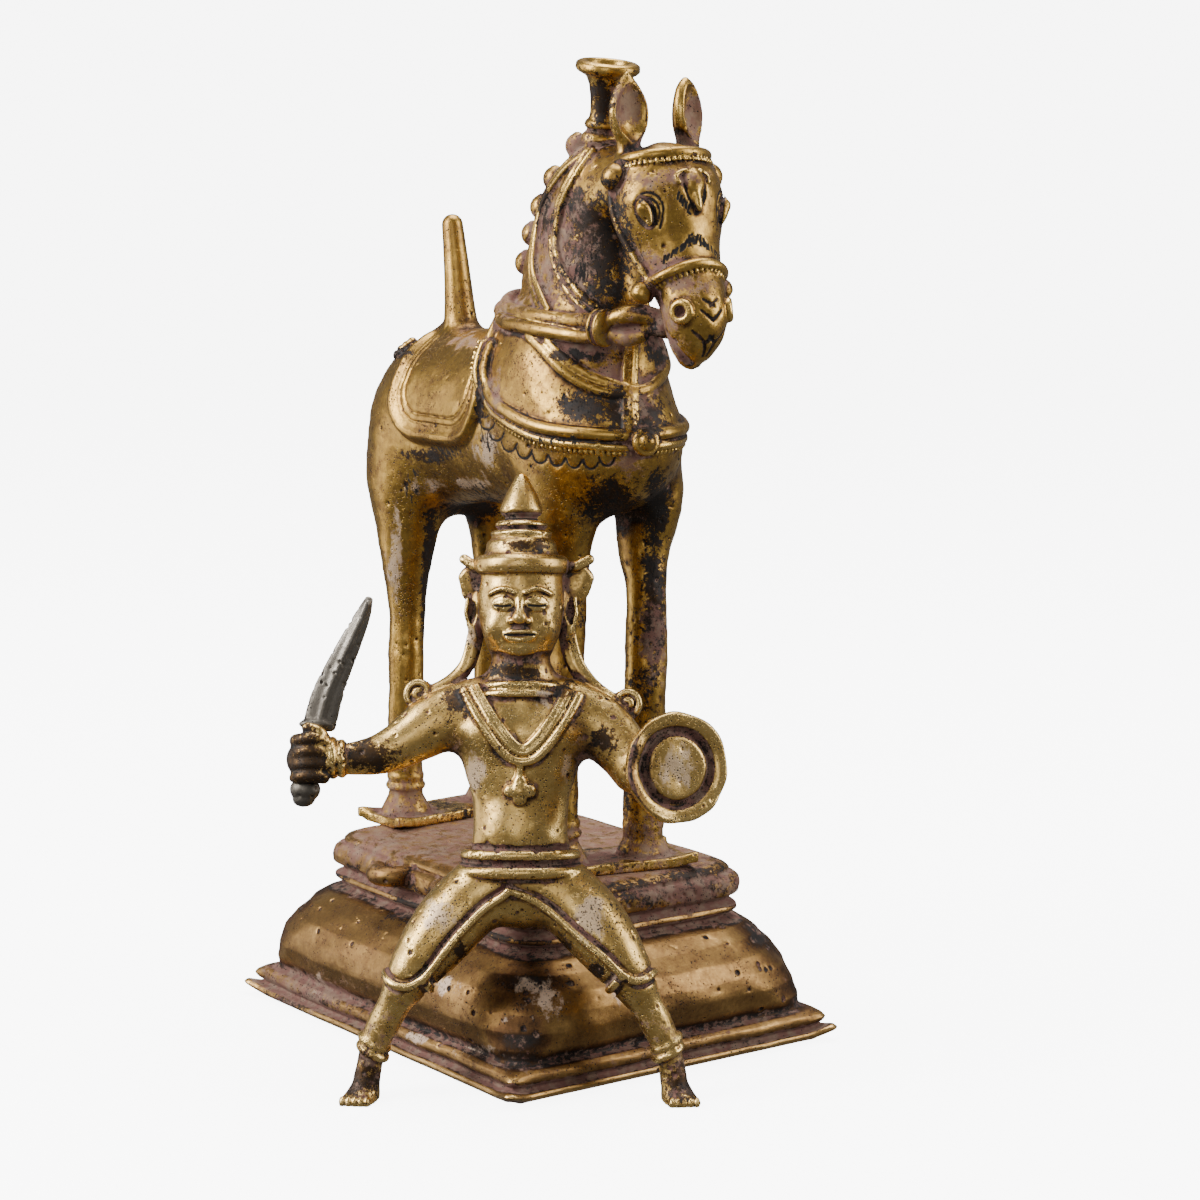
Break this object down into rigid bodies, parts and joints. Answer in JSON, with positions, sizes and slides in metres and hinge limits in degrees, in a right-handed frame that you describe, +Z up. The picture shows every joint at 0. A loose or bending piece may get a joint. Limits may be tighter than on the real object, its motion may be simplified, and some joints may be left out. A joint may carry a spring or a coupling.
{
  "type": "cast brass horse and rider figure on a plinth",
  "caption": "Cast brass horse with bridle and saddle cloth on a stepped plinth, with its loose rider holding a sword and round shield standing in front.",
  "frame": {"origin": "below the middle of the whole object's box, on the surface that it stands on", "axes": "+Z up; the horse faces -Y, and its left side is +X"},
  "size_m": [0.1428, 0.1654, 0.2677],
  "materials": {
    "plinth_brass": "dark brown patinated cast brass, worn on its edges, with pink-brown and cream residue",
    "horse_brass": "olive-gold cast brass, polished by handling, black-brown in its hollows",
    "rider_brass": "pale gold cast brass with small black casting pits",
    "sword_metal": "dark grey cast metal, rough, with worn lighter edges"
  },
  "bodies": {
    "root": {"plinth": "plinth_brass", "horse": "horse_brass", "rider": "rider_brass", "sword": "sword_metal"}
  },
  "joints": []
}
